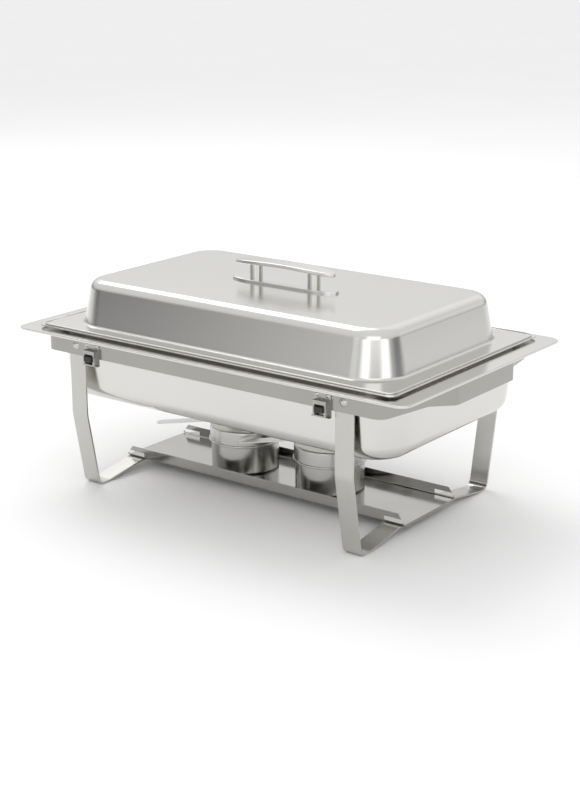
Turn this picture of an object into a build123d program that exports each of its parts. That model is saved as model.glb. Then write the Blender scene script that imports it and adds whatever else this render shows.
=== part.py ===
from build123d import *
import math
import os

# Folding chafing dish. Millimetres, +Z up, origin on the floor below the middle of the dish.
# X runs along the dish, and the front long side faces -Y.

# Sheet, strip and clearances
PAN_WALL = 0.8
BAND_THICK = 2.0
STRIP_THICK = 2.5
STRIP_WIDTH = 25.0
SHELF_THICK = 1.0
SLIDE_GAP = 0.4
SIDE_GAP = 0.3
PIN_GAP = 0.06
CUT_OVER = 1.0

# Food pan: the standard pan that the rest is sized around
FOOD_LENGTH = 530.0
FOOD_WIDTH = 325.0
FOOD_RIM = 12.5
FOOD_RIM_RADIUS = 10.0
FOOD_OPEN_RADIUS = 48.0
FOOD_DEPTH = 65.0
FOOD_DRAFT = 5.0
FOOD_EDGE = 16.0
FOOD_LIP_WIDE = 1.2
FOOD_LIP_DROP = 1.6
FOOD_OPEN_LENGTH = FOOD_LENGTH - 2 * FOOD_RIM
FOOD_OPEN_WIDTH = FOOD_WIDTH - 2 * FOOD_RIM

# Water pan: room for water round and under the food pan
WATER_ROOM_END = 3.7
WATER_ROOM_SIDE = 2.7
WATER_ROOM_CORNER = 3.2
WATER_ROOM_UNDER = 20.0
WATER_RIM_END = 25.0
WATER_RIM_SIDE = 14.5
WATER_RIM_RADIUS = 15.0
WATER_DRAFT = 5.5
WATER_EDGE = 20.0
HEM_WIDE = 1.6
HEM_DROP = 3.0
LEDGE_WIDE = 3.0
LEDGE_HIGH = 3.2
WATER_LENGTH = FOOD_LENGTH + 2 * WATER_RIM_END
WATER_WIDTH = FOOD_WIDTH + 2 * WATER_RIM_SIDE
WATER_OPEN_LENGTH = FOOD_OPEN_LENGTH + 2 * (PAN_WALL + WATER_ROOM_END)
WATER_OPEN_WIDTH = FOOD_OPEN_WIDTH + 2 * (PAN_WALL + WATER_ROOM_SIDE)
WATER_OPEN_RADIUS = FOOD_OPEN_RADIUS + PAN_WALL + WATER_ROOM_CORNER
WATER_DEPTH = FOOD_DEPTH + WATER_ROOM_UNDER

# Cover: stands on the food pan's rim
COVER_MARGIN_END = 15.5
COVER_MARGIN_SIDE = 14.0
COVER_RADIUS = 48.0
COVER_HEIGHT = 56.0
COVER_DRAFT = 11.0
COVER_EDGE = 14.0
COVER_SETBACK = 3.0
COVER_RIM_RADIUS = 12.0
COVER_BEAD_WIDE = 1.6
COVER_BEAD_HIGH = 2.0
COVER_LENGTH = FOOD_OPEN_LENGTH - 2 * COVER_MARGIN_END
COVER_WIDTH = FOOD_OPEN_WIDTH - 2 * COVER_MARGIN_SIDE

# Leg rivets
RIVET_SHANK = 6.0
RIVET_HEAD_SPREAD = 2.0
RIVET_DOME = 2.5
RIVET_TAIL_SPREAD = 2.5
RIVET_TAIL_THICK = 1.8
RIVET_HEAD = RIVET_SHANK + 2 * RIVET_HEAD_SPREAD
RIVET_TAIL = RIVET_SHANK + 2 * RIVET_TAIL_SPREAD

# Frame band: leaves room beside the water pan for the rivet tails and the legs
BAND_LOW = 175.0
BAND_HEIGHT = 25.0
BAND_CORNER_RADIUS = 15.0
BAND_CORNER_IN = 6.8
PAN_CLEAR = 0.8
BOW_ROOT_OUT = 6.2
BOW_HALF = 63.0
BOW_RUN = 24.0
BOW_RADIUS = 7.0
BOW_TO_HEM = 1.4
PAN_SIDE = WATER_OPEN_WIDTH / 2 + PAN_WALL
PAN_END = WATER_OPEN_LENGTH / 2 + PAN_WALL
LEG_INNER = PAN_SIDE + PAN_CLEAR + RIVET_TAIL_THICK + SIDE_GAP
LEG_OUTER = LEG_INNER + STRIP_THICK
BAND_INNER = LEG_OUTER + SIDE_GAP
BAND_HALF_WIDTH = BAND_INNER + BAND_THICK
BAND_CORNER_X = PAN_END - BAND_CORNER_IN
BOW_ROOT_X = PAN_END + BOW_ROOT_OUT
BOW_X = WATER_LENGTH / 2 - HEM_WIDE - BOW_TO_HEM

# Fuel holders and snuffer lids
CUP_DIAMETER = 87.0
CUP_APART = 47.0
CUP_Y = 4.0
CUP_WALL = 0.8
CUP_HEIGHT = 56.0
CUP_EDGE = 3.0
CUP_ROLL = 1.2
LID_SKIRT = 20.0
LID_GAP = 1.6
LID_STEP = 9.0
LID_DISH = 1.5
LID_BEAD = 1.4
TONGUE_WIDTH = 15.0
TONGUE_THICK = 1.2
TONGUE_LAP = 13.5
TONGUE_FLAT = 6.5
TONGUE_FREE = 68.0
TONGUE_DROP = 8.0
TONGUE_ANGLE = 25.0
CUP_SPACING = CUP_DIAMETER + CUP_APART
TONGUE_ROOT = CUP_DIAMETER / 2 - TONGUE_LAP
TONGUE_KNEE = CUP_DIAMETER / 2 + TONGUE_FLAT
TONGUE_REACH = TONGUE_KNEE + TONGUE_FREE

# Legs
LEG_INSET = 56.0
LEG_KNEE_Z = 98.0
FOOT_INSET = 18.45
FOOT_FLAT = 16.0
FOOT_RADIUS = 9.0
KNEE_RADIUS = 40.0
BAR_TOP = 12.5
BAR_RADIUS = 30.0
LEG_X = WATER_OPEN_LENGTH / 2 - LEG_INSET
FOOT_Y = LEG_INNER + STRIP_THICK / 2 - FOOT_INSET

# Fuel shelf: carries the holders, its ends just outside the legs
SHELF_MARGIN = 13.5
SHELF_FLANGE = 13.5
SHELF_BEND = 1.5
SHELF_END_LIP = 3.0
SHELF_END_GAP = 1.5
SHELF_SLANT = 8.0
SLOT_ROOM = 1.0
SLOT_HIGH = 5.0
SLOT_UP = 1.5
BAR_BEYOND = 5.0
SHELF_LENGTH = 2 * (LEG_X + STRIP_WIDTH / 2 + SHELF_END_GAP + SHELF_THICK)
SHELF_WIDTH = CUP_DIAMETER + 2 * SHELF_MARGIN
SLOT_LENGTH = STRIP_WIDTH + 2 * SLOT_ROOM
BAR_HALF = SHELF_WIDTH / 2 + BAR_BEYOND

# Latches: beside each leg, their boxes reaching below the band
LATCH_WIDTH = 24.0
LATCH_TO_LEG = 3.0
LATCH_SHEET = 1.0
LATCH_LIP = 4.0
LATCH_BELOW = 9.0
LATCH_FOOT = 1.5
LATCH_EDGE = 5.0
BOX_WIDTH = 18.0
BOX_DEPTH = 6.0
BOX_HEIGHT = 18.0
WINDOW_WIDTH = 13.0
WINDOW_DOWN = 4.5
CATCH_HEIGHT = 8.0
CATCH_TRAVEL = 3.5
CATCH_SIDE_GAP = 0.5
CATCH_LUG_STEP = 1.0
CATCH_LUG_OUT = 2.6
CATCH_ROUND = 1.0
CATCH_NOSE_WIDTH = 9.0
SPRING_RADIUS = 1.4
SPRING_WIRE = 0.5
SPRING_TURNS = 3
LATCH_RIVET = 3.0
LATCH_RIVET_HEAD = 5.5
LATCH_RIVET_DOME = 1.2
LATCH_RIVET_X = 7.5
LATCH_HEAD_GAP = 2.75
LATCH_X = LEG_X - STRIP_WIDTH / 2 - LATCH_TO_LEG - LATCH_WIDTH / 2
LATCH_LOW = BAND_LOW - LATCH_BELOW
BOX_LOW = LATCH_LOW + LATCH_FOOT
BOX_TOP = BOX_LOW + BOX_HEIGHT
WINDOW_TOP = BOX_TOP - WINDOW_DOWN
CATCH_LUG_WIDTH = WINDOW_WIDTH - 2 * CATCH_SIDE_GAP
LATCH_RIVET_Z = BOX_TOP + LATCH_HEAD_GAP + LATCH_RIVET_HEAD / 2
LATCH_TOP = LATCH_RIVET_Z + LATCH_EDGE

# Cover handle
POST_SPACING = 88.0
POST_DIAMETER = 16.0
POST_HEIGHT = 19.0
BASE_BEYOND = 35.5
BASE_MARGIN = 6.0
BASE_TIP = 30.0
BASE_THICK = 3.0
GRIP_BEYOND = 31.0
GRIP_MARGIN = 5.5
GRIP_TIP = 50.0
GRIP_THICK = 4.5
GRIP_RISE = 4.0
SCREW_DIAMETER = 5.0
SCREW_HEAD = 9.0
SCREW_HEAD_HIGH = 3.0
SCREW_SLOT = 1.2
SCREW_BITE = 12.0
WASHER_MARGIN = 2.5
WASHER_THICK = 1.0
BASE_LENGTH = POST_SPACING + 2 * BASE_BEYOND
BASE_WIDTH = POST_DIAMETER + 2 * BASE_MARGIN
GRIP_LENGTH = POST_SPACING + 2 * GRIP_BEYOND
GRIP_WIDTH = POST_DIAMETER + 2 * GRIP_MARGIN
WASHER_DIAMETER = SCREW_HEAD + 2 * WASHER_MARGIN

# Heights that follow from the stack
BAND_TOP = BAND_LOW + BAND_HEIGHT
WATER_TOP = BAND_TOP + PAN_WALL
FOOD_UNDER = WATER_TOP + LEDGE_HIGH
FOOD_TOP = FOOD_UNDER + PAN_WALL
COVER_TOP = FOOD_TOP + COVER_HEIGHT
PLATE_TOP = COVER_TOP + BASE_THICK
SHELF_TOP = BAR_TOP + SHELF_THICK
CUP_TOP = SHELF_TOP + CUP_HEIGHT
PIVOT_Z = BAND_TOP - STRIP_WIDTH / 2 - SLIDE_GAP


def save(name, shape):
    """Write one sub-part to its own file."""
    export_step(shape, f"parts/{name}.step")


def group(shapes):
    """Separate solids that share one node."""
    return Compound(children=list(shapes))


def plate(length, width, radius, low, high):
    """Flat plate with rounded corners."""
    return Pos(0, 0, low) * extrude(RectangleRounded(length, width, radius), high - low)


def ring(length, width, radius, wide, low, high):
    """Rectangular ring that runs just inside an outline."""
    outer = plate(length, width, radius, low, high)
    return outer - plate(length - 2 * wide, width - 2 * wide, radius - wide, low, high)


def box(x0, x1, y0, y1, z0, z1):
    """Box between two corners."""
    size = Box(x1 - x0, y1 - y0, z1 - z0)
    return Pos((x0 + x1) / 2, (y0 + y1) / 2, (z0 + z1) / 2) * size


def rod(diameter, y0, y1, x, z):
    """Round bar along Y."""
    bar = extrude(Circle(diameter / 2), y1 - y0)
    return Pos(x, y0, z) * Rot(-90, 0, 0) * bar


def disc(diameter, low, high, x=0.0, y=0.0):
    """Round bar along Z."""
    return Pos(x, y, low) * extrude(Circle(diameter / 2), high - low)


def tub(length, width, radius, depth, draft, edge):
    """Solid that narrows downward from z = 0 and ends in a rounded edge."""
    top = RectangleRounded(length, width, radius)
    body = extrude(top, depth, dir=(0, 0, -1), taper=draft)
    return fillet(body.edges().group_by(Axis.Z)[0], edge)


def deep_drawn(length, width, radius, depth, draft, edge, wall):
    """Open tub drawn from sheet, its mouth at z = 0, measured inside the mouth."""
    outer = tub(length + 2 * wall, width + 2 * wall, radius + wall, depth, draft, edge)
    inner = tub(length, width, radius, depth - wall, draft, edge - wall)
    return outer - inner


def bent_strip(points, radii, thick, wide):
    """Flat strip bent in the YZ plane about its middle line, centred on X = 0."""
    path = FilletPolyline(*points, radius=radii)
    outline = offset(path, amount=thick / 2, kind=Kind.INTERSECTION, side=Side.BOTH)
    face = make_face(outline.edges())
    return extrude(Plane.YZ * face, wide / 2, both=True)


def oblong(length, width, tip):
    """Flat outline with straight sides and elliptical ends."""
    middle = Rectangle(length - 2 * tip, width)
    end = Ellipse(tip, width / 2)
    return middle + Pos(length / 2 - tip, 0) * end + Pos(tip - length / 2, 0) * end


def mirrored_four(shape):
    """The same piece at the four corners: front right, front left, back right, back left."""
    left = mirror(shape, Plane.YZ)
    return {
        "front_right": shape,
        "front_left": left,
        "back_right": mirror(shape, Plane.XZ),
        "back_left": mirror(left, Plane.XZ),
    }


def band_outline():
    """Outer outline of the band: rounded corners and a bow at each end."""
    start = BOW_HALF + BOW_RUN
    quarter = [
        (BOW_X, BOW_HALF),
        (BOW_ROOT_X, start),
        (BAND_CORNER_X, BAND_HALF_WIDTH),
    ]
    radii = [BOW_RADIUS, BOW_RADIUS, BAND_CORNER_RADIUS]
    right_back = list(quarter)
    left_back = [(-x, y) for x, y in reversed(quarter)]
    left_front = [(-x, -y) for x, y in quarter]
    right_front = [(x, -y) for x, y in reversed(quarter)]
    points = right_back + left_back + left_front + right_front
    turns = radii + radii[::-1] + radii + radii[::-1]
    return make_face(FilletPolyline(*points, radius=turns, close=True).edges())


def frame_band():
    """Strip bent to a closed loop, with a hole at each leg rivet and latch rivet."""
    outer = band_outline()
    loop = outer - offset(outer, amount=-BAND_THICK, kind=Kind.INTERSECTION)
    band = Pos(0, 0, BAND_LOW) * extrude(loop, BAND_HEIGHT)
    reach = BAND_HALF_WIDTH + CUT_OVER
    for side in (-1, 1):
        band -= rod(RIVET_SHANK, -reach, reach, side * LEG_X, PIVOT_Z)
        for step in (-1, 1):
            x = side * LATCH_X + step * LATCH_RIVET_X
            band -= rod(LATCH_RIVET, -reach, reach, x, LATCH_RIVET_Z)
    return band


def leg():
    """U-leg in one bent strip, centred on X = 0."""
    half = STRIP_THICK / 2
    side_y = LEG_INNER + half
    bar_z = BAR_TOP - half
    flat_end = FOOT_Y - FOOT_FLAT
    right = [
        (side_y, PIVOT_Z),
        (side_y, LEG_KNEE_Z),
        (FOOT_Y, half),
        (flat_end, half),
        (BAR_HALF, bar_z),
    ]
    points = right + [(-y, z) for y, z in reversed(right)]
    turns = [KNEE_RADIUS, FOOT_RADIUS, BAR_RADIUS, BAR_RADIUS]
    strip = bent_strip(points, turns + turns[::-1], STRIP_THICK, STRIP_WIDTH)
    reach = LEG_OUTER + CUT_OVER
    ends = rod(STRIP_WIDTH, -LEG_OUTER, -LEG_INNER, 0, PIVOT_Z)
    ends += rod(STRIP_WIDTH, LEG_INNER, LEG_OUTER, 0, PIVOT_Z)
    return strip + ends - rod(RIVET_SHANK + 2 * PIN_GAP, -reach, reach, 0, PIVOT_Z)


def domed_head(diameter, height, x, y, z):
    """Low round head that stands out from a face at -Y."""
    radius = (diameter * diameter / 4 + height * height) / (2 * height)
    ball = Pos(x, y + radius - height, z) * Sphere(radius)
    return ball & box(x - diameter, x + diameter, y - height, y, z - diameter, z + diameter)


def leg_rivet():
    """Front right leg rivet: domed outside, flat tail inside the leg."""
    tail = LEG_INNER - SIDE_GAP
    rivet = rod(RIVET_SHANK, -BAND_HALF_WIDTH, -tail, LEG_X, PIVOT_Z)
    rivet += rod(RIVET_TAIL, -tail, RIVET_TAIL_THICK - tail, LEG_X, PIVOT_Z)
    return rivet + domed_head(RIVET_HEAD, RIVET_DOME, LEG_X, -BAND_HALF_WIDTH, PIVOT_Z)


def catch_top():
    """Height of the top of the catch at rest, so that it stays in its window."""
    return BOX_LOW + LATCH_SHEET + CATCH_TRAVEL + CATCH_HEIGHT


def latch_housing():
    """Front right latch housing: back plate, raised box with a window, bottom lip."""
    face = -BAND_HALF_WIDTH
    front = face - LATCH_SHEET
    nose_half = CATCH_NOSE_WIDTH / 2 + SLIDE_GAP
    shell = box(-BOX_WIDTH / 2, BOX_WIDTH / 2, front - BOX_DEPTH, front, BOX_LOW, BOX_TOP)
    room = BOX_WIDTH / 2 - LATCH_SHEET
    low = BOX_LOW + LATCH_SHEET
    shell -= box(-room, room, front - BOX_DEPTH + LATCH_SHEET, front, low, BOX_TOP - LATCH_SHEET)
    window = WINDOW_WIDTH / 2
    outside = front - BOX_DEPTH - CUT_OVER
    shell -= box(-window, window, outside, front - LATCH_SHEET, low, WINDOW_TOP)
    back = box(-LATCH_WIDTH / 2, LATCH_WIDTH / 2, front, face, LATCH_LOW, LATCH_TOP)
    back -= box(-nose_half, nose_half, front - CUT_OVER, face + CUT_OVER, low, BAND_LOW)
    lip_half = LATCH_WIDTH / 2
    lip = box(-lip_half, lip_half, front - LATCH_LIP, front, LATCH_LOW, LATCH_LOW + LATCH_SHEET)
    housing = shell + back + lip
    for step in (-1, 1):
        x = step * LATCH_RIVET_X
        housing -= rod(LATCH_RIVET, front - CUT_OVER, face + CUT_OVER, x, LATCH_RIVET_Z)
    return Pos(LATCH_X, 0, 0) * housing


def thumb_catch():
    """Front right thumb catch: slider in the box, lug in the window, nose below the band."""
    front = -BAND_HALF_WIDTH - LATCH_SHEET
    top = catch_top()
    low = top - CATCH_HEIGHT
    half = BOX_WIDTH / 2 - LATCH_SHEET - SLIDE_GAP
    outer = front - BOX_DEPTH + LATCH_SHEET + SLIDE_GAP
    slider = box(-half, half, outer, front - SLIDE_GAP, low, top)
    lug_half = CATCH_LUG_WIDTH / 2
    lug = box(-lug_half, lug_half, front - BOX_DEPTH - CATCH_LUG_OUT, outer, low,
              top - CATCH_LUG_STEP)
    lug = fillet(lug.edges().group_by(Axis.Y)[0], CATCH_ROUND)
    nose_half = CATCH_NOSE_WIDTH / 2
    inner = -BAND_INNER - SLIDE_GAP
    nose = box(-nose_half, nose_half, front - SLIDE_GAP, inner, low, BAND_LOW - SLIDE_GAP)
    return Pos(LATCH_X, 0, 0) * (slider + lug + nose)


def latch_spring():
    """Front right catch spring, between the catch and the top of its box."""
    low = catch_top() + SPRING_WIRE / 2
    high = BOX_TOP - LATCH_SHEET - SPRING_WIRE / 2
    pitch = (high - low) / SPRING_TURNS
    line = Helix(pitch=pitch, height=high - low, radius=SPRING_RADIUS)
    wire = sweep(Plane(line @ 0, z_dir=line % 0) * Circle(SPRING_WIRE / 2), path=line)
    middle = -BAND_HALF_WIDTH - LATCH_SHEET - BOX_DEPTH / 2
    return Pos(LATCH_X, middle, low) * wire


def latch_rivet(x):
    """Small domed rivet, its tail flush with the inside of the band."""
    z = LATCH_RIVET_Z
    face = -BAND_HALF_WIDTH - LATCH_SHEET
    head = domed_head(LATCH_RIVET_HEAD, LATCH_RIVET_DOME, x, face, z)
    return rod(LATCH_RIVET, face, -BAND_INNER, x, z) + head


def water_pan():
    """Deep pan: drawn tub, wide flange with a rolled edge, raised ledge for the food pan."""
    tub_part = deep_drawn(WATER_OPEN_LENGTH, WATER_OPEN_WIDTH, WATER_OPEN_RADIUS,
                          WATER_DEPTH + PAN_WALL, WATER_DRAFT, WATER_EDGE, PAN_WALL)
    pan = Pos(0, 0, WATER_TOP) * tub_part
    flange = plate(WATER_LENGTH, WATER_WIDTH, WATER_RIM_RADIUS, BAND_TOP, WATER_TOP)
    mouth = plate(WATER_OPEN_LENGTH, WATER_OPEN_WIDTH, WATER_OPEN_RADIUS, BAND_TOP, WATER_TOP)
    pan += flange - mouth
    pan += ring(WATER_LENGTH, WATER_WIDTH, WATER_RIM_RADIUS, HEM_WIDE,
                WATER_TOP - HEM_DROP, WATER_TOP)
    ledge_length = WATER_OPEN_LENGTH + 2 * LEDGE_WIDE
    ledge_width = WATER_OPEN_WIDTH + 2 * LEDGE_WIDE
    ledge_radius = WATER_OPEN_RADIUS + LEDGE_WIDE
    pan += ring(ledge_length, ledge_width, ledge_radius, LEDGE_WIDE, WATER_TOP, FOOD_UNDER)
    return pan


def food_pan():
    """Gastronorm pan: drawn tub and a flange with a small turned-down lip."""
    tub_part = deep_drawn(FOOD_OPEN_LENGTH, FOOD_OPEN_WIDTH, FOOD_OPEN_RADIUS,
                          FOOD_DEPTH + PAN_WALL, FOOD_DRAFT, FOOD_EDGE, PAN_WALL)
    pan = Pos(0, 0, FOOD_TOP) * tub_part
    flange = plate(FOOD_LENGTH, FOOD_WIDTH, FOOD_RIM_RADIUS, FOOD_UNDER, FOOD_TOP)
    mouth = plate(FOOD_OPEN_LENGTH, FOOD_OPEN_WIDTH, FOOD_OPEN_RADIUS, FOOD_UNDER, FOOD_TOP)
    lip = ring(FOOD_LENGTH, FOOD_WIDTH, FOOD_RIM_RADIUS, FOOD_LIP_WIDE,
               FOOD_TOP - FOOD_LIP_DROP, FOOD_TOP)
    return pan + (flange - mouth) + lip


def cover():
    """Dome cover: drawn shell, flat rim with a rolled edge, two screw holes on top."""
    inside_length = COVER_LENGTH - 2 * PAN_WALL
    inside_width = COVER_WIDTH - 2 * PAN_WALL
    inside_radius = COVER_RADIUS - PAN_WALL
    dome = deep_drawn(inside_length, inside_width, inside_radius,
                      COVER_HEIGHT, COVER_DRAFT, COVER_EDGE, PAN_WALL)
    shell = Pos(0, 0, FOOD_TOP) * Rot(180, 0, 0) * dome
    rim_length = FOOD_LENGTH - 2 * COVER_SETBACK
    rim_width = FOOD_WIDTH - 2 * COVER_SETBACK
    rim = plate(rim_length, rim_width, COVER_RIM_RADIUS, FOOD_TOP, FOOD_TOP + PAN_WALL)
    rim -= plate(inside_length, inside_width, inside_radius, FOOD_TOP, FOOD_TOP + PAN_WALL)
    bead = ring(rim_length, rim_width, COVER_RIM_RADIUS, COVER_BEAD_WIDE,
                FOOD_TOP, FOOD_TOP + COVER_BEAD_HIGH)
    shell += rim
    shell += bead
    return shell - screw_holes(SCREW_DIAMETER)


def screw_holes(diameter):
    """Two upright bars where the handle screws pass."""
    low = COVER_TOP - 2 * PAN_WALL
    return [disc(diameter, low, PLATE_TOP + CUT_OVER, side * POST_SPACING / 2) for side in (-1, 1)]


def handle_base_plate():
    """Oblong plate between the cover and the posts, its upper edge rounded."""
    base = Pos(0, 0, COVER_TOP) * extrude(oblong(BASE_LENGTH, BASE_WIDTH, BASE_TIP), BASE_THICK)
    base = fillet(base.edges().group_by(Axis.Z)[-1], BASE_THICK / 3)
    return base - screw_holes(SCREW_DIAMETER)


def grip_under_radius():
    """Radius of the underside of the arched grip."""
    chord = GRIP_LENGTH / 2
    return (chord * chord + GRIP_RISE * GRIP_RISE) / (2 * GRIP_RISE)


def grip_bow(extra):
    """Bar along Y whose top follows the underside of the grip, raised by an allowance."""
    radius = grip_under_radius()
    post_drop = radius - math.sqrt(radius * radius - POST_SPACING * POST_SPACING / 4)
    centre = PLATE_TOP + POST_HEIGHT + post_drop - radius
    return rod(2 * (radius + extra), -GRIP_WIDTH, GRIP_WIDTH, 0, centre)


def handle_grip():
    """Arched flat grip with rounded ends."""
    arch = grip_bow(GRIP_THICK) - grip_bow(0)
    outline = oblong(GRIP_LENGTH, GRIP_WIDTH, GRIP_TIP)
    column = Pos(0, 0, PLATE_TOP) * extrude(outline, POST_HEIGHT * 2)
    grip = arch & column
    return fillet(grip.edges().filter_by(GeomType.LINE, reverse=True), GRIP_THICK / 4)


def handle_post(side):
    """Round post, cut to the grip's underside and bored for its screw."""
    x = side * POST_SPACING / 2
    post = disc(POST_DIAMETER, PLATE_TOP, PLATE_TOP + 2 * POST_HEIGHT, x)
    post &= grip_bow(0)
    return post - disc(SCREW_DIAMETER, PLATE_TOP, PLATE_TOP + SCREW_BITE, x)


def handle_screw(side):
    """Pan-head screw from inside the cover into its post."""
    x = side * POST_SPACING / 2
    seat = COVER_TOP - PAN_WALL - WASHER_THICK
    head = disc(SCREW_HEAD, seat - SCREW_HEAD_HIGH, seat, x)
    head = fillet(head.edges().group_by(Axis.Z)[0], SCREW_HEAD_HIGH / 3)
    low = seat - SCREW_HEAD_HIGH
    half = SCREW_SLOT / 2
    slot = box(x - SCREW_HEAD, x + SCREW_HEAD, -half, half, low, low + SCREW_HEAD_HIGH / 3)
    return head - slot + disc(SCREW_DIAMETER, seat, PLATE_TOP + SCREW_BITE, x)


def handle_washer(side):
    """Washer between a screw head and the underside of the cover."""
    x = side * POST_SPACING / 2
    high = COVER_TOP - PAN_WALL
    low = high - WASHER_THICK
    return disc(WASHER_DIAMETER, low, high, x) - disc(SCREW_DIAMETER, low, high, x)


def shelf_section():
    """Cross-section of the shelf in the YZ plane: plate with both long edges turned up."""
    middle = SHELF_WIDTH / 2 - SHELF_THICK / 2
    low = BAR_TOP + SHELF_THICK / 2
    high = BAR_TOP + SHELF_FLANGE
    points = [(-middle, high), (-middle, low), (middle, low), (middle, high)]
    return points, [SHELF_BEND + SHELF_THICK / 2] * 2


def slant_cut(side):
    """Wedge that trims the upper end corners of both flanges."""
    end = side * SHELF_LENGTH / 2
    top = BAR_TOP + SHELF_FLANGE
    tip = side * (SHELF_LENGTH / 2 - SHELF_SLANT)
    above = top + CUT_OVER
    outline = Polyline((end, SHELF_TOP + SLOT_UP), (end + side * CUT_OVER, above),
                       (tip, above), (tip, top), close=True)
    return extrude(Plane.XZ * make_face(outline.edges()), SHELF_WIDTH, both=True)


def fuel_shelf():
    """Shelf on the cross bars: slots over the legs and a lip at each end."""
    points, turns = shelf_section()
    shelf = bent_strip(points, turns, SHELF_THICK, SHELF_LENGTH)
    low = SHELF_TOP + SLOT_UP
    flat = SHELF_WIDTH / 2 - SHELF_THICK - SHELF_BEND
    for side in (-1, 1):
        shelf -= slant_cut(side)
        x = side * LEG_X
        half = SLOT_LENGTH / 2
        shelf -= box(x - half, x + half, -SHELF_WIDTH, SHELF_WIDTH, low, low + SLOT_HIGH)
        edge = side * SHELF_LENGTH / 2
        inner = edge - side * SHELF_THICK
        lip = box(min(edge, inner), max(edge, inner), -flat, flat,
                  BAR_TOP - SHELF_END_LIP, SHELF_TOP)
        shelf += lip
    return shelf


def fuel_cup():
    """Fuel holder: drawn cup with a rolled rim, centred on X = Y = 0."""
    radius = CUP_DIAMETER / 2
    cup = disc(CUP_DIAMETER, SHELF_TOP, CUP_TOP)
    cup = fillet(cup.edges().group_by(Axis.Z)[0], CUP_EDGE)
    room = disc(CUP_DIAMETER - 2 * CUP_WALL, SHELF_TOP + CUP_WALL, CUP_TOP + CUT_OVER)
    room = fillet(room.edges().group_by(Axis.Z)[0], CUP_EDGE - CUP_WALL)
    roll = Pos(0, 0, CUP_TOP - CUP_ROLL) * Torus(radius - CUP_ROLL, CUP_ROLL)
    return cup - room + roll


def snuffer_lid():
    """Lid over the cup: stepped top, skirt and a rolled bead, centred on X = Y = 0."""
    inner = CUP_DIAMETER / 2 + LID_GAP / 2
    outer = inner + CUP_WALL
    top = CUP_TOP + CUP_WALL
    low = CUP_TOP - LID_SKIRT
    body = disc(2 * outer, low, top)
    body = fillet(body.edges().group_by(Axis.Z)[-1], CUP_EDGE - CUP_WALL)
    body -= disc(2 * inner, low, CUP_TOP)
    well = outer - LID_STEP
    body -= disc(2 * well, top - LID_DISH, top)
    body += disc(2 * well + 2 * CUP_WALL, top - LID_DISH - CUP_WALL, top - LID_DISH)
    body += disc(2 * well + 2 * CUP_WALL, CUP_TOP - LID_DISH, CUP_TOP) - disc(
        2 * well, CUP_TOP - LID_DISH, CUP_TOP)
    bead = Pos(0, 0, low + LID_BEAD) * Torus(outer, LID_BEAD)
    return body + (bead - disc(2 * inner, low - CUT_OVER, CUP_TOP))


def snuffer_tongue():
    """Flat handle on the lid, pointing along -X from X = Y = 0, its outer end rounded."""
    half = TONGUE_THICK / 2
    z = CUP_TOP + CUP_WALL + half
    line = [(TONGUE_ROOT, z), (TONGUE_KNEE, z), (TONGUE_REACH, z - TONGUE_DROP)]
    strip = Rot(0, 0, 90) * bent_strip(line, [TONGUE_KNEE / 2], TONGUE_THICK, TONGUE_WIDTH)
    length = 2 * (TONGUE_REACH - TONGUE_ROOT)
    outline = SlotOverall(length, TONGUE_WIDTH)
    column = Pos(-TONGUE_ROOT, 0, SHELF_TOP) * extrude(outline, CUP_HEIGHT * 2)
    return strip & column


def place_cup(side, shape):
    """Put a fuel holder piece over its end of the shelf."""
    return Pos(side * CUP_SPACING / 2, CUP_Y, 0) * shape


def save_frame():
    """Band, legs, rivets and latches."""
    save("frame_band", frame_band())
    save("leg_left", Pos(-LEG_X, 0, 0) * leg())
    save("leg_right", Pos(LEG_X, 0, 0) * leg())
    save("leg_rivets", group(mirrored_four(leg_rivet()).values()))
    for corner, shape in mirrored_four(latch_housing()).items():
        save(f"latch_housing_{corner}", shape)
    for corner, shape in mirrored_four(thumb_catch()).items():
        save(f"latch_catch_{corner}", shape)
    save("latch_springs", group(mirrored_four(latch_spring()).values()))
    rivets = []
    for step in (-1, 1):
        rivets += mirrored_four(latch_rivet(LATCH_X + step * LATCH_RIVET_X)).values()
    save("latch_rivets", group(rivets))


def save_pans():
    """Water pan, food pan, cover and the cover's handle."""
    save("water_pan", water_pan())
    save("food_pan", food_pan())
    save("cover", cover())
    save("handle_base_plate", handle_base_plate())
    save("handle_grip", handle_grip())
    save("handle_post_left", handle_post(-1))
    save("handle_post_right", handle_post(1))
    save("handle_screws", group([handle_screw(-1), handle_screw(1)]))
    save("handle_washers", group([handle_washer(-1), handle_washer(1)]))


def save_burners():
    """Fuel shelf, fuel holders, snuffer lids and their handles."""
    save("fuel_shelf", fuel_shelf())
    for side, name in ((-1, "left"), (1, "right")):
        save(f"fuel_holder_{name}", place_cup(side, fuel_cup()))
        save(f"snuffer_lid_{name}", place_cup(side, snuffer_lid()))
        tongue = Rot(0, 0, TONGUE_ANGLE) * snuffer_tongue()
        save(f"snuffer_handle_{name}", place_cup(side, tongue))


os.makedirs("parts", exist_ok=True)
save_frame()
save_pans()
save_burners()
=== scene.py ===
import math

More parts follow.
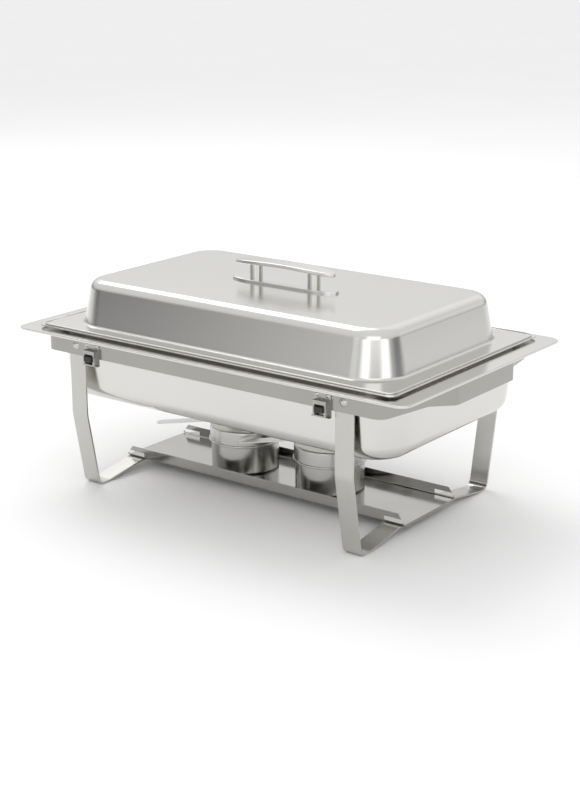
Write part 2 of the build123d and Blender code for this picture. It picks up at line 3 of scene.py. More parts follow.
import bmesh
import bpy
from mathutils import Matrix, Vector


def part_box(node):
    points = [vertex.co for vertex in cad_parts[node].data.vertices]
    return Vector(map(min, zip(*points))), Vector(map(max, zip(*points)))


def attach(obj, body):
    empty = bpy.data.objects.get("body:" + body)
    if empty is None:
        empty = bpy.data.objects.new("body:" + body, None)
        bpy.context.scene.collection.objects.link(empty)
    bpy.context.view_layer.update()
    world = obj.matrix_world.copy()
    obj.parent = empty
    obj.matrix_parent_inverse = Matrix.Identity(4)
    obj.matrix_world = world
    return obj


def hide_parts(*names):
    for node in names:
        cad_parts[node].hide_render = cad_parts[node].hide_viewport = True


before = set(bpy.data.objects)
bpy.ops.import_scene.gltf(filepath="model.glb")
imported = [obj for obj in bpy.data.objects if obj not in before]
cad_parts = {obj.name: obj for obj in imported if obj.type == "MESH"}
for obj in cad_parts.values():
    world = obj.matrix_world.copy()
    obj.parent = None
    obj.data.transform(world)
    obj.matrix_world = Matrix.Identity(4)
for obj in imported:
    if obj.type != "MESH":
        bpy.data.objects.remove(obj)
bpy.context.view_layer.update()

MM = 0.001
SIDES = ("left", "right")
CORNERS = ("front_right", "front_left", "back_right", "back_left")

# Sheet and strip of the dish, in metres.
SHEET = 0.8 * MM
STRIP = 2.5 * MM
BAND = 2.0 * MM

# Faces across each kind of round.
CORNER_STEPS = 14
FILLET_STEPS = 6
BEND_STEPS = 10
SPIN_STEPS = 72
SPIN_FILLET_STEPS = 4
EDGE_STEPS = 3

# Vertices this close to a place belong to it, and those closer than WELD become one.
NEAR = 0.02 * MM
WELD = 0.005 * MM
# Edges that turn more than this, in degrees, are softened, or shaded as sharp.
SOFTEN_ABOVE = 50
SHARP_ABOVE = 32

# Drawn sheet: length, width and corner radius of a mouth or foot, the draft of its walls in
# degrees, and the corner radius of the rim.
COVER_FOOT, COVER_DRAFT, COVER_RIM_CORNER = (474 * MM, 272 * MM, 48 * MM), 11, 12 * MM
FOOD_MOUTH, FOOD_DRAFT, FOOD_RIM_CORNER = (505 * MM, 300 * MM, 48 * MM), 5, 10 * MM
WATER_MOUTH, WATER_DRAFT, WATER_RIM_CORNER = (514 * MM, 307 * MM, 52 * MM), 5.5, 15 * MM

# A U-leg: where its knee, foot and cross bar are, and the radii of its bends.
KNEE_HEIGHT = 98 * MM
FOOT_OUT = 140 * MM
FOOT_LONG = 16 * MM
CROSS_BAR_OUT = 62 * MM
CROSS_BAR_TOP = 12.5 * MM
LEG_BENDS = [40 * MM, 9 * MM, 30 * MM, 30 * MM]
# The eye round a rivet takes nearly half of the strip's width from each side.
EYE_SHARE = 0.49

# The band's bow: half its straight, its shoulder, the band's corner, and their bends.
BOW_HALF = 63 * MM
BOW_SHOULDER = (264 * MM, 87 * MM)
BAND_CORNER = 251 * MM
BAND_BENDS = [7 * MM, 7 * MM, 15 * MM]


# ---------------------------------------------------------------- working on a mesh by hand

def begin(name, add_primitive, **size):
    """Adds a primitive at its place, its origin at the frame's origin, and opens it for editing."""
    bpy.ops.object.select_all(action="DESELECT")
    add_primitive(**size)
    piece = bpy.context.object
    piece.name = piece.data.name = name
    bpy.ops.object.transform_apply(location=True, rotation=True, scale=True)
    bpy.ops.object.mode_set(mode="EDIT")
    bpy.ops.mesh.select_all(action="SELECT")
    return piece


def pick(test):
    """Selects the vertices that pass a test, and the edges and faces between them."""
    bpy.ops.mesh.select_all(action="DESELECT")
    data = bpy.context.edit_object.data
    mesh = bmesh.from_edit_mesh(data)
    for vertex in mesh.verts:
        vertex.select = test(vertex.co)
    mesh.select_flush(True)
    bmesh.update_edit_mesh(data)


def add_modifier(piece, kind, **settings):
    """Adds a modifier with its settings and applies it."""
    modifier = piece.modifiers.new(kind, kind)
    for key, value in settings.items():
        setattr(modifier, key, value)
    bpy.ops.object.modifier_apply(modifier=modifier.name)


def close_piece(piece, edge_round=0.0, wall=0.0, wall_side=0.0):
    """Leaves edit mode, gives a sheet its wall, softens sharp edges and smooths the shading."""
    bpy.ops.mesh.select_all(action="SELECT")
    bpy.ops.mesh.remove_doubles(threshold=WELD)
    bpy.ops.mesh.normals_make_consistent(inside=False)
    bpy.ops.object.mode_set(mode="OBJECT")
    if wall:
        add_modifier(piece, "SOLIDIFY", thickness=wall, offset=wall_side, use_even_offset=True)
    if edge_round:
        add_modifier(piece, "BEVEL", width=edge_round, segments=EDGE_STEPS, limit_method="ANGLE",
                     angle_limit=math.radians(SOFTEN_ABOVE), use_clamp_overlap=False)
    bpy.ops.object.shade_smooth_by_angle(angle=math.radians(SHARP_ABOVE))
    add_modifier(piece, "WEIGHTED_NORMAL", mode="FACE_AREA", weight=60, keep_sharp=True)


def fit_to_dish(piece, body, slot, finish, *nodes):
    """Gives a finished piece its material and its body, and hides the CAD nodes it stands for."""
    piece.data.materials.clear()
    piece.data.materials.append(finish)
    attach(piece, body)
    if nodes:
        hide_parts(*nodes)


# ---------------------------------------------------------------- finishes

def linear(code):
    """An sRGB hex colour as linear red, green, blue and alpha."""
    channels = [int(code[i:i + 2], 16) / 255 for i in (0, 2, 4)]
    values = [c / 12.92 if c <= 0.04045 else ((c + 0.055) / 1.055) ** 2.4 for c in channels]
    return (*values, 1.0)


def add(tree, kind, links=(), stops=(), **settings):
    """Adds a node with its settings and links.

    A link is an input and the output that feeds it. A setting that starts with in_ is the
    value of an input, by name or number. Stops are places on a ramp and their grey levels.
    """
    node = tree.nodes.new(kind)
    for key, value in settings.items():
        if key.startswith("in_"):
            socket = key[3:].replace("_", " ")
            node.inputs[int(socket) if socket.isdigit() else socket].default_value = value
        else:
            setattr(node, key, value)
    for socket, source in links:
        tree.links.new(source, node.inputs[socket])
    for number, (place, level) in enumerate(stops):
        elements = node.color_ramp.elements
        stop = elements[number] if number < 2 else elements.new(place)
        stop.position = place
        stop.color = (level, level, level, 1)
    return node


def new_finish(name):
    """An empty material with its output node."""
    finish = bpy.data.materials.new(name)
    finish.use_nodes = True
    finish.node_tree.nodes.clear()
    return finish, finish.node_tree


def stainless(name, tint, shade, rough, spread, grain, relief, wave=0.0, marks=0.4):
    """Stainless steel. Grain is lines per metre along X, Y and Z, so the long way has few.

    The lines lift the roughness by spread and give a fine relief. Broad smudges dull the
    metal a little where hands and cloths touch it, by marks, and tint it between two greys.
    """
    finish, tree = new_finish(name)
    place = add(tree, "ShaderNodeTexCoord").outputs["Object"]
    stretched = add(tree, "ShaderNodeMapping", [("Vector", place)], in_Scale=grain)
    lines = add(tree, "ShaderNodeTexNoise", [("Vector", stretched.outputs["Vector"])],
                in_Scale=1.0, in_Detail=4.0, in_Roughness=0.62)
    smudge = add(tree, "ShaderNodeTexNoise", [("Vector", place)],
                 in_Scale=9.0, in_Detail=5.0, in_Roughness=0.6, in_Distortion=0.6)
    speck = add(tree, "ShaderNodeTexNoise", [("Vector", place)],
                in_Scale=160.0, in_Detail=2.0, in_Roughness=0.5)
    patch = add(tree, "ShaderNodeValToRGB", [("Fac", smudge.outputs["Fac"])],
                stops=[(0.38, 0.0), (0.68, marks)])
    line_part = add(tree, "ShaderNodeMath", [(0, lines.outputs["Fac"])],
                    operation="MULTIPLY_ADD", in_1=spread, in_2=rough - spread / 2)
    smudge_part = add(tree, "ShaderNodeMath",
                      [(0, patch.outputs["Color"]), (2, line_part.outputs[0])],
                      operation="MULTIPLY_ADD", in_1=spread * 0.5)
    speck_part = add(tree, "ShaderNodeMath",
                     [(0, speck.outputs["Fac"]), (2, smudge_part.outputs[0])],
                     operation="MULTIPLY_ADD", in_1=spread * 0.2)
    tone = add(tree, "ShaderNodeMath", [(0, lines.outputs["Fac"]), (1, patch.outputs["Color"])],
               operation="MULTIPLY_ADD", in_2=0.25)
    colour = add(tree, "ShaderNodeMix", [(0, tone.outputs[0])], data_type="RGBA",
                 in_6=linear(tint), in_7=linear(shade))
    bump = add(tree, "ShaderNodeBump", [("Height", lines.outputs["Fac"])],
               in_Strength=relief, in_Distance=0.05 * MM)
    if wave:
        swell = add(tree, "ShaderNodeTexNoise", [("Vector", place)],
                    in_Scale=5.0, in_Detail=1.0, in_Roughness=0.4)
        bump = add(tree, "ShaderNodeBump",
                   [("Height", swell.outputs["Fac"]), ("Normal", bump.outputs["Normal"])],
                   in_Strength=1.0, in_Distance=wave)
    metal = add(tree, "ShaderNodeBsdfPrincipled",
                [("Base Color", colour.outputs[2]), ("Roughness", speck_part.outputs[0]),
                 ("Normal", bump.outputs["Normal"])], in_Metallic=1.0)
    add(tree, "ShaderNodeOutputMaterial", [("Surface", metal.outputs[0])])
    return finish


def moulded_nylon(name, tint, shade):
    """Injection-moulded black nylon: a faint spark-eroded grain and rubbed, glossier patches."""
    finish, tree = new_finish(name)
    place = add(tree, "ShaderNodeTexCoord").outputs["Object"]
    grain = add(tree, "ShaderNodeTexVoronoi", [("Vector", place)], in_Scale=2500.0)
    rubbed = add(tree, "ShaderNodeTexNoise", [("Vector", place)], in_Scale=260.0, in_Detail=3.0)
    gloss = add(tree, "ShaderNodeValToRGB", [("Fac", rubbed.outputs["Fac"])],
                stops=[(0.35, 0.30), (0.70, 0.52)])
    colour = add(tree, "ShaderNodeMix", [(0, rubbed.outputs["Fac"])], data_type="RGBA",
                 in_6=linear(tint), in_7=linear(shade))
    bump = add(tree, "ShaderNodeBump", [("Height", grain.outputs["Distance"])],
               in_Strength=0.25, in_Distance=0.03 * MM)
    plastic = add(tree, "ShaderNodeBsdfPrincipled",
                  [("Base Color", colour.outputs[2]), ("Roughness", gloss.outputs["Color"]),
                   ("Normal", bump.outputs["Normal"])], in_IOR=1.53)
    add(tree, "ShaderNodeOutputMaterial", [("Surface", plastic.outputs[0])])
    return finish


def studio_paper(name, tint, shade):
    """Matt seamless paper: a plain pale floor with a very faint mottle."""
    finish, tree = new_finish(name)
    place = add(tree, "ShaderNodeTexCoord").outputs["Object"]
    mottle = add(tree, "ShaderNodeTexNoise", [("Vector", place)], in_Scale=3.0, in_Detail=4.0)
    colour = add(tree, "ShaderNodeMix", [(0, mottle.outputs["Fac"])], data_type="RGBA",
                 in_6=linear(tint), in_7=linear(shade))
    paper = add(tree, "ShaderNodeBsdfPrincipled", [("Base Color", colour.outputs[2])],
                in_Roughness=0.9)
    add(tree, "ShaderNodeOutputMaterial", [("Surface", paper.outputs[0])])
    return finish


# Deep-drawn sheet, satin polished along its length: soft reflections with a faint lengthwise
# grain. Real grit lines are 0.1 mm apart; these are 0.7 mm apart, so that they show.
satin_sheet = stainless("satin_polished_stainless_sheet", "DAD9D6", "CECDC9", rough=0.19,
                        spread=0.03, grain=(14, 1400, 1400), relief=0.03, wave=0.05 * MM,
                        marks=0.2)
# Pan walls are bright-annealed and brighter than the cover, with the drawing marks upright.
drawn_sheet = stainless("bright_drawn_stainless_sheet", "DCDAD7", "D0CECA", rough=0.17,
                        spread=0.04, grain=(900, 900, 22), relief=0.04, wave=0.10 * MM,
                        marks=0.25)
# Cold-rolled strip, half bright, its rolling lines along the strip.
leg_strip = stainless("cold_rolled_stainless_leg_strip", "C8C7C3", "B9B8B3", rough=0.22,
                      spread=0.07, grain=(1300, 18, 18), relief=0.06)
# The band is the same strip as the legs; its two greys are set darker as a painted dark reflection.
band_strip = stainless("cold_rolled_stainless_band_with_painted_dark_reflection", "A9A8A4", "989792", rough=0.18,
                       spread=0.06, grain=(16, 16, 1300), relief=0.06)
# Sheet of the shelf, buffed, with hairline wiping scratches along it; its greys are darker than the
# pans' as a painted dark reflection.
shelf_sheet_with_painted_dark_reflection = stainless("buffed_stainless_shelf_sheet_painted_dark_reflection", "B4B3B0", "A09F9B", rough=0.14,
                         spread=0.06, grain=(30, 900, 900), relief=0.04, wave=0.05 * MM)
# Spun cups, turned and brushed round their axis: upright streaks of light and dark.
spun_cup = stainless("spun_brushed_stainless_cup", "CFCECB", "B5B4B0", rough=0.20,
                     spread=0.08, grain=(140, 140, 4), relief=0.04)
# Polished bar, rod and plate of the cover's handle, and the lids' tongues: pale, with fine
# lines along the bar.
handle_bar = stainless("polished_stainless_handle_bar", "DBDAD7", "CECDCA", rough=0.22,
                       spread=0.05, grain=(30, 1100, 1100), relief=0.04)
# Rivets tumbled in a drum: the same all round, and slightly mottled.
rivet_steel = stainless("tumbled_stainless_rivet", "D2D0CC", "B9B7B2", rough=0.18,
                        spread=0.10, grain=(700, 700, 700), relief=0.15)
# Housings stamped from strip: rougher and uneven, with the strongest marks of handling.
latch_sheet = stainless("pressed_stainless_latch_sheet", "C4C2BE", "9C9A95", rough=0.20,
                        spread=0.12, grain=(500, 500, 500), relief=0.50, marks=1.0)
# Wire drawn through a die: the dullest of the metals.
spring_wire = stainless("drawn_stainless_spring_wire", "B5B3AE", "8F8D88", rough=0.28,
                        spread=0.14, grain=(900, 900, 900), relief=0.30)
# The catches' moulded plastic, nearly black, glossier where thumbs rub it.
catch_nylon = moulded_nylon("moulded_black_nylon", "141413", "232321")


# ---------------------------------------------------------------- drawn pans and cover

def off_outline(place, outline):
    """How far a vertex is from a rounded outline: length, width, corner radius, height."""
    length, width, radius, height = outline
    beyond_x = max(abs(place.x) - length / 2 + radius, 0.0)
    beyond_y = max(abs(place.y) - width / 2 + radius, 0.0)
    return max(abs(math.hypot(beyond_x, beyond_y) - radius), abs(place.z - height))


def on_outline(outline):
    """A test for the vertices of an outline."""
    return lambda place: off_outline(place, outline) < NEAR


def shape_outline(outline):
    """Turns the selected unit plane into a rounded outline of edges."""
    length, width, radius, height = outline
    bpy.ops.transform.resize(value=(length, width, 1), center_override=(0, 0, height))
    bpy.ops.mesh.bevel(offset=radius, segments=CORNER_STEPS, affect="VERTICES",
                       clamp_overlap=False)
    bpy.ops.mesh.delete(type="ONLY_FACE")
    bpy.ops.mesh.select_all(action="SELECT")


def draw_outline(before, after):
    """Moves the selected vertices from one outline to the next, each at its own corner angle."""
    data = bpy.context.edit_object.data
    mesh = bmesh.from_edit_mesh(data)
    for vertex in mesh.verts:
        if vertex.select:
            ends = []
            for half_old, half_new, value in ((before[0] / 2, after[0] / 2, vertex.co.x),
                                              (before[1] / 2, after[1] / 2, vertex.co.y)):
                part = (abs(value) - half_old + before[2]) / before[2]
                ends.append(math.copysign(half_new - after[2] + after[2] * part, value))
            vertex.co = (*ends, after[3])
    bmesh.update_edit_mesh(data)


def drawn_shell(name, steps):
    """A closed sheet-metal shell: one outline extruded to the next, ends filled, edges rounded.

    Each step is an outline and the radius of the round there, or 0 for none.
    """
    outlines = [outline for outline, _ in steps]
    first = outlines[0]
    piece = begin(name, bpy.ops.mesh.primitive_plane_add, size=1, location=(0, 0, first[3]))
    shape_outline(first)
    for before, outline in zip(outlines, outlines[1:]):
        bpy.ops.mesh.extrude_region_move(TRANSFORM_OT_translate={"value": (0, 0, 0)})
        draw_outline(before, outline)
    for end in (outlines[0], outlines[-1]):
        pick(on_outline(end))
        bpy.ops.mesh.edge_face_add()
    for outline, offset in steps:
        if offset:
            pick(on_outline(outline))
            bpy.ops.mesh.bevel(offset=offset, segments=FILLET_STEPS, affect="EDGES",
                               clamp_overlap=False)
    close_piece(piece)
    return piece


def drafted(length, width, radius, height, depth, draft):
    """The outline at the far end of a drafted wall: smaller all round by depth x tan(draft)."""
    inset = abs(depth) * math.tan(math.radians(draft))
    return (length - 2 * inset, width - 2 * inset, radius - inset, height + depth)


def shrunk(outline, inset, height=None):
    """The same outline set in all round, at another height if one is given."""
    length, width, radius, level = outline
    return (length - 2 * inset, width - 2 * inset, radius - inset,
            level if height is None else height)


def box_outline(node, radius, height):
    """The outline of a CAD node's box."""
    low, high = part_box(node)
    return (high.x - low.x, high.y - low.y, radius, height)


def make_cover():
    """Domed cover: flat top, soft draw radius, drafted walls, flat rim with a rolled bead."""
    low, high = (corner.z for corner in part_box("cover"))
    bead_wide, bead_high = 1.6 * MM, 2.0 * MM
    rim = box_outline("cover", COVER_RIM_CORNER, low)
    foot = (*COVER_FOOT, low)
    inner_foot = shrunk(foot, SHEET)
    steps = [
        (drafted(*foot, high - low, COVER_DRAFT), 11.5 * MM),
        (shrunk(foot, 0, low + SHEET), 3.0 * MM),
        (shrunk(rim, bead_wide, low + SHEET), 0),
        (shrunk(rim, bead_wide, low + bead_high), 0.75 * MM),
        (shrunk(rim, 0, low + bead_high), 0.75 * MM),
        (rim, 0.5 * MM),
        (inner_foot, 2.2 * MM),
        (drafted(*inner_foot, high - SHEET - low, COVER_DRAFT), 10.8 * MM),
    ]
    piece = drawn_shell("cover_shell", steps)
    fit_to_dish(piece, "cover", "satin_steel", satin_sheet, "cover")


def make_food_pan():
    """Food pan: drawn tub, flat flange and a turned-down lip all round."""
    low, high = (corner.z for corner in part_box("food_pan"))
    lip_wide, lip_drop = 1.2 * MM, 1.6 * MM
    rim = box_outline("food_pan", FOOD_RIM_CORNER, high)
    mouth = (*FOOD_MOUTH, high)
    under_mouth = shrunk(mouth, -SHEET, high - SHEET)
    steps = [
        (drafted(*mouth, low + SHEET - high, FOOD_DRAFT), 13.9 * MM),
        (mouth, 2.4 * MM),
        (rim, 0.7 * MM),
        (shrunk(rim, 0, high - lip_drop), 0.4 * MM),
        (shrunk(rim, lip_wide, high - lip_drop), 0),
        (shrunk(rim, lip_wide, high - SHEET), 0),
        (under_mouth, 1.8 * MM),
        (drafted(*under_mouth, low - high + SHEET, FOOD_DRAFT), 14.6 * MM),
    ]
    piece = drawn_shell("food_pan_shell", steps)
    fit_to_dish(piece, "food_pan", "satin_steel", drawn_sheet, "food_pan")


def make_water_pan():
    """Water pan: deep drawn tub, raised ledge for the food pan, wide flange with a hem."""
    low, ledge_top = (corner.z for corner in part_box("water_pan"))
    ledge_wide, ledge_high = 3.0 * MM, 3.2 * MM
    hem_wide, hem_drop = 1.6 * MM, 3.0 * MM
    high = ledge_top - ledge_high
    rim = box_outline("water_pan", WATER_RIM_CORNER, high)
    mouth = (*WATER_MOUTH, high)
    under_mouth = shrunk(mouth, -SHEET, high - SHEET)
    steps = [
        (drafted(*mouth, low + SHEET - high, WATER_DRAFT), 17.4 * MM),
        (mouth, 0),
        (shrunk(mouth, 0, ledge_top), 0.8 * MM),
        (shrunk(mouth, -ledge_wide, ledge_top), 0.9 * MM),
        (shrunk(mouth, -ledge_wide, high), 0.8 * MM),
        (rim, 1.1 * MM),
        (shrunk(rim, 0, high - hem_drop), 0.7 * MM),
        (shrunk(rim, hem_wide, high - hem_drop), 0.5 * MM),
        (shrunk(rim, hem_wide, high - SHEET), 0),
        (under_mouth, 2.4 * MM),
        (drafted(*under_mouth, low - high + SHEET, WATER_DRAFT), 18.1 * MM),
    ]
    piece = drawn_shell("water_pan_shell", steps)
    fit_to_dish(piece, "water_pan", "satin_steel", drawn_sheet, "water_pan")


# ---------------------------------------------------------------- bent strip

def bend_offset(before, corner, after, radius):
    """How far from a corner its bend starts, for a bend of that radius."""
    turn = (corner - before).angle(after - corner)
    return radius * math.tan(turn / 2)


def extrude_along(points):
    """Extrudes the selected edge from point to point."""
    for before, point in zip(points, points[1:]):
        bpy.ops.mesh.extrude_region_move(TRANSFORM_OT_translate={"value": point - before})


def round_bends(points, radii, across):
    """Bevels the edge across the strip at each bend into an arc."""
    for (before, corner, after), radius in zip(zip(points, points[1:], points[2:]), radii):
        offset = bend_offset(before, corner, after, radius)
        pick(lambda place: math.hypot(*(place - corner)[across[0]:across[1]]) < NEAR)
        bpy.ops.mesh.bevel(offset=offset, segments=BEND_STEPS, affect="EDGES",
                           clamp_overlap=False)


def make_leg(side):
    """One U-leg: strip with rounded eyes at the rivets, two knees, two feet and the cross bar."""
    node = f"leg_{side}"
    low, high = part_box(node)
    middle = (low.x + high.x) / 2
    wide = high.x - low.x
    side_y = high.y - STRIP / 2
    half = [(side_y, high.z), (side_y, KNEE_HEIGHT), (FOOT_OUT, STRIP / 2),
            (FOOT_OUT - FOOT_LONG, STRIP / 2), (CROSS_BAR_OUT, CROSS_BAR_TOP - STRIP / 2)]
    path = half + [(-y, z) for y, z in reversed(half)]
    points = [Vector((middle, y, z)) for y, z in path]
    piece = begin(node + "_strip", bpy.ops.mesh.primitive_plane_add, size=wide,
                  location=points[0])
    pick(lambda place: place.y > points[0].y)
    bpy.ops.mesh.delete(type="VERT")
    bpy.ops.mesh.select_all(action="SELECT")
    bpy.ops.transform.translate(value=(0, wide / 2, 0))
    extrude_along(points)
    round_bends(points, LEG_BENDS + LEG_BENDS[::-1], (1, 3))
    pick(lambda place: place.z > high.z - NEAR)
    bpy.ops.mesh.bevel(offset=wide * EYE_SHARE, segments=BEND_STEPS, affect="VERTICES",
                       clamp_overlap=False)
    close_piece(piece, edge_round=0.55 * MM, wall=STRIP)
    fit_to_dish(piece, node, "frame_steel", leg_strip, node)


def make_band():
    """Frame band: one strip bent to a closed loop, with a bow at each end."""
    low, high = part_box("frame_band")
    middle = (low.z + high.z) / 2
    wide = high.z - low.z
    quarter = [(high.x, BOW_HALF), BOW_SHOULDER, (BAND_CORNER, high.y)]
    path = quarter + [(-x, y) for x, y in reversed(quarter)]
    path += [(-x, -y) for x, y in quarter] + [(x, -y) for x, y in reversed(quarter)]
    turns = (BAND_BENDS + BAND_BENDS[::-1]) * 2
    points = [Vector((x, y, middle)) for x, y in path]
    piece = begin("frame_band_strip", bpy.ops.mesh.primitive_plane_add, size=wide,
                  location=points[0], rotation=(math.radians(90), 0, 0))
    pick(lambda place: place.x > points[0].x)
    bpy.ops.mesh.delete(type="VERT")
    bpy.ops.mesh.select_all(action="SELECT")
    bpy.ops.transform.translate(value=(wide / 2, 0, 0))
    extrude_along(points + points[:1])
    bpy.ops.mesh.select_all(action="SELECT")
    bpy.ops.mesh.remove_doubles(threshold=0.01 * MM)
    round_bends(points[-1:] + points + points[:1], turns, (0, 2))
    close_piece(piece, edge_round=0.45 * MM, wall=BAND, wall_side=-1.0)
    fit_to_dish(piece, "frame", "frame_steel", band_strip, "frame_band")


# ---------------------------------------------------------------- spun cups and lids

def at_ring(radius, height, centre):
    """A test for the vertices of one ring of a turned piece."""
    return lambda place: (abs((place.xy - centre).length - radius) < NEAR
                          and abs(place.z - height) < NEAR)


def turned_shell(name, centre, steps):
    """A closed turned shell: a circle extruded and scaled from ring to ring, ends filled.

    Each step is a ring's radius and height, and the radius of the round there, or 0 for none.
    """
    rings = [(radius, height) for radius, height, _ in steps]
    radius, height = rings[0]
    piece = begin(name, bpy.ops.mesh.primitive_circle_add, vertices=SPIN_STEPS, radius=radius,
                  location=(*centre, height))
    for wider, level in rings[1:]:
        rise = {"value": (0, 0, level - height)}
        bpy.ops.mesh.extrude_region_move(TRANSFORM_OT_translate=rise)
        bpy.ops.transform.resize(value=(wider / radius, wider / radius, 1),
                                 center_override=(*centre, level))
        radius, height = wider, level
    for end in (rings[0], rings[-1]):
        pick(at_ring(*end, centre))
        bpy.ops.mesh.edge_face_add()
    for radius, height, offset in steps:
        if offset:
            pick(at_ring(radius, height, centre))
            bpy.ops.mesh.bevel(offset=offset, segments=SPIN_FILLET_STEPS, affect="EDGES",
                               clamp_overlap=False)
    close_piece(piece)
    return piece


def make_fuel_holder(side):
    """Fuel holder: spun cup with a rolled rim."""
    node = f"fuel_holder_{side}"
    low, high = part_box(node)
    centre = ((low + high) / 2).xy
    outer = (high.x - low.x) / 2
    roll = 2.4 * MM
    bore = outer - SHEET
    steps = [
        (outer, low.z, 3.0 * MM),
        (outer, high.z, 1.1 * MM),
        (outer - roll, high.z, 1.1 * MM),
        (outer - roll, high.z - roll, 0.5 * MM),
        (bore, high.z - roll, 0),
        (bore, low.z + SHEET, 2.2 * MM),
    ]
    piece = turned_shell(node + "_cup", centre, steps)
    fit_to_dish(piece, node, "polished_steel", spun_cup, node)


def make_snuffer_lid(side):
    """Snuffer lid: sunken top, rounded shoulder, skirt with a rolled bead."""
    node = f"snuffer_lid_{side}"
    low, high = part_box(node)
    centre = ((low + high) / 2).xy
    bead = 1.4 * MM
    outer = (high.x - low.x) / 2 - bead
    inner = outer - SHEET
    well = outer - 9 * MM
    dish = 1.5 * MM
    steps = [
        (well, high.z - dish, 0.5 * MM),
        (well, high.z, 0.6 * MM),
        (outer, high.z, 2.2 * MM),
        (outer, low.z + 2 * bead, 0.5 * MM),
        (outer + bead, low.z + 2 * bead, 1.0 * MM),
        (outer + bead, low.z, 0.9 * MM),
        (inner, low.z, 0),
        (inner, high.z - SHEET, 1.4 * MM),
        (well + SHEET, high.z - SHEET, 0),
        (well + SHEET, high.z - dish - SHEET, 0),
    ]
    piece = turned_shell(node + "_spun", centre, steps)
    fit_to_dish(piece, f"snuffer_{side}", "polished_steel", spun_cup, node)


# ---------------------------------------------------------------- the dish

make_cover()
make_food_pan()
make_water_pan()
make_band()
for side in SIDES:
    make_leg(side)
    make_fuel_holder(side)
    make_snuffer_lid(side)

node_finishes = {
    "handle_base_plate": handle_bar,
    "handle_grip": handle_bar,
    "handle_screws": rivet_steel,
    "handle_washers": rivet_steel,
    "fuel_shelf": shelf_sheet_with_painted_dark_reflection,
    "leg_rivets": rivet_steel,
    "latch_rivets": rivet_steel,
    "latch_springs": spring_wire,
}
for side in SIDES:
    node_finishes[f"handle_post_{side}"] = handle_bar
    node_finishes[f"snuffer_handle_{side}"] = handle_bar
for corner in CORNERS:
    node_finishes[f"latch_housing_{corner}"] = latch_sheet
    node_finishes[f"latch_catch_{corner}"] = catch_nylon
for node, finish in node_finishes.items():
    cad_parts[node].data.materials[0] = finish


# ---------------------------------------------------------------- studio

# Each soft box or flag: where it is seen from the dish, its inner and outer half-angle in
# degrees, and how much light it adds. A flag takes light away.
SOFT_BOXES = [
    ((-0.57, 0.77, 0.45), 20, 50, 0.25),
    ((-0.77, -0.64, 0.10), 8, 24, -0.34),
    ((-0.38, -0.92, 0.05), 4, 22, 0.50),
    ((0.21, -0.98, 0.08), 4, 18, 1.3),
    ((0.95, -0.30, 0.08), 4, 19, 1.5),
    ((0.89, 0.45, 0.05), 6, 20, -0.30),
    ((0.50, 0.86, 0.05), 8, 26, 0.25),
]
# Brightness of the room by the height looked at, from the horizon up to straight overhead.
ROOM_STOPS = [(0.0, 0.42), (0.10, 0.50), (0.34, 0.92), (1.0, 1.05)]

LOOKED_AT = Vector((0, 0, 0.150))
CAMERA_AROUND = 36.7
CAMERA_UP = 17.0
CAMERA_AWAY = 2.01
CAMERA_LENS = 72.6
# The camera stands slightly right of the line to the dish and below it.
CAMERA_RIGHT = 0.0063
CAMERA_BELOW = 0.035
FLOOR_SIZE = 30


def make_floor():
    """A wide flat sheet of pale paper under the dish."""
    piece = begin("studio_floor", bpy.ops.mesh.primitive_plane_add, size=FLOOR_SIZE)
    bpy.ops.mesh.subdivide(number_cuts=7)
    bpy.ops.object.mode_set(mode="OBJECT")
    piece.data.materials.append(studio_paper("seamless_studio_paper", "FAFAFA", "F6F6F6"))


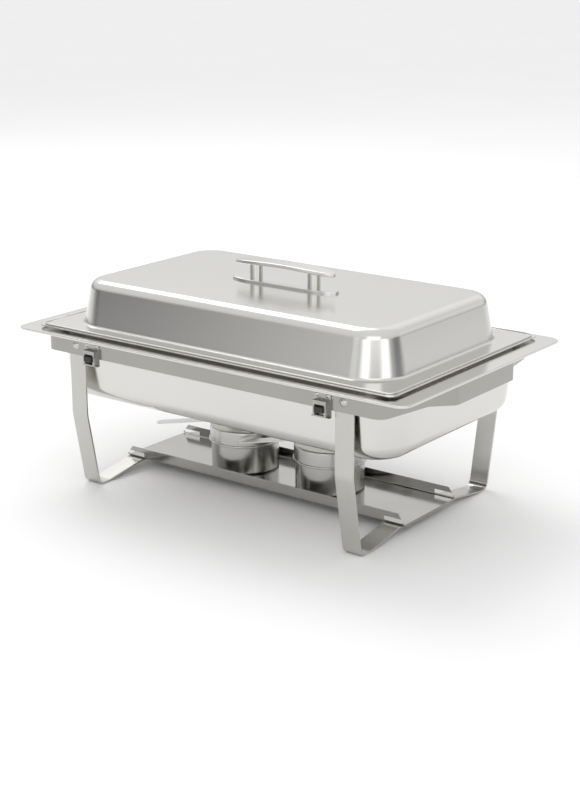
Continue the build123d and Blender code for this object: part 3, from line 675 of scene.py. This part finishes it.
def make_world():
    """Soft studio surroundings: a pale room with large soft boxes and dark flags around it."""
    world = bpy.data.worlds.new("studio")
    bpy.context.scene.world = world
    world.use_nodes = True
    tree = world.node_tree
    tree.nodes.clear()
    direction = add(tree, "ShaderNodeTexCoord").outputs["Generated"]
    height = add(tree, "ShaderNodeSeparateXYZ", [("Vector", direction)]).outputs["Z"]
    total = add(tree, "ShaderNodeValToRGB", [("Fac", height)],
                stops=ROOM_STOPS).outputs["Color"]
    for aim, inner, outer, strength in SOFT_BOXES:
        facing = add(tree, "ShaderNodeVectorMath", [(0, direction)], operation="DOT_PRODUCT",
                     in_1=Vector(aim).normalized())
        glow = add(tree, "ShaderNodeMapRange", [("Value", facing.outputs["Value"])],
                   interpolation_type="SMOOTHSTEP", in_From_Min=math.cos(math.radians(outer)),
                   in_From_Max=math.cos(math.radians(inner)), in_To_Max=strength)
        joined = add(tree, "ShaderNodeMath", [(0, total), (1, glow.outputs["Result"])],
                     operation="ADD")
        total = joined.outputs[0]
    room = add(tree, "ShaderNodeBackground", [("Color", total)], in_Strength=0.9)
    paper = add(tree, "ShaderNodeBackground", in_Color=linear("FCFCFC"), in_Strength=1.0)
    seen = add(tree, "ShaderNodeLightPath").outputs["Is Camera Ray"]
    mixed = add(tree, "ShaderNodeMixShader",
                [(0, seen), (1, room.outputs[0]), (2, paper.outputs[0])])
    add(tree, "ShaderNodeOutputWorld", [("Surface", mixed.outputs[0])])


def make_light(name, place, size, power):
    """A soft area light aimed at the dish."""
    data = bpy.data.lights.new(name, "AREA")
    data.energy = power
    data.size = size
    light = bpy.data.objects.new(name, data)
    light.location = place
    toward = LOOKED_AT - Vector(place)
    light.rotation_euler = toward.to_track_quat("-Z", "Y").to_euler()
    bpy.context.collection.objects.link(light)


def make_camera():
    """The camera, looking at the dish from the front right and a little above."""
    around, up_angle = math.radians(CAMERA_AROUND), math.radians(CAMERA_UP)
    back = Vector((math.sin(around) * math.cos(up_angle), -math.cos(around) * math.cos(up_angle),
                   math.sin(up_angle)))
    right = Vector((math.cos(around), math.sin(around), 0))
    up = back.cross(right)
    data = bpy.data.cameras.new("camera")
    data.lens = CAMERA_LENS
    camera = bpy.data.objects.new("camera", data)
    camera.location = (LOOKED_AT + back * CAMERA_AWAY + right * CAMERA_RIGHT
                       - up * CAMERA_BELOW)
    camera.rotation_mode = "QUATERNION"
    camera.rotation_quaternion = (-back).to_track_quat("-Z", "Y")
    bpy.context.collection.objects.link(camera)
    bpy.context.scene.camera = camera


make_floor()
make_world()
make_light("key_light", (-1.6, 0.9, 2.4), 1.8, 26)
make_light("fill_light", (1.8, -2.2, 1.6), 2.2, 12)
make_camera()
bpy.context.scene.view_settings.view_transform = "Standard"
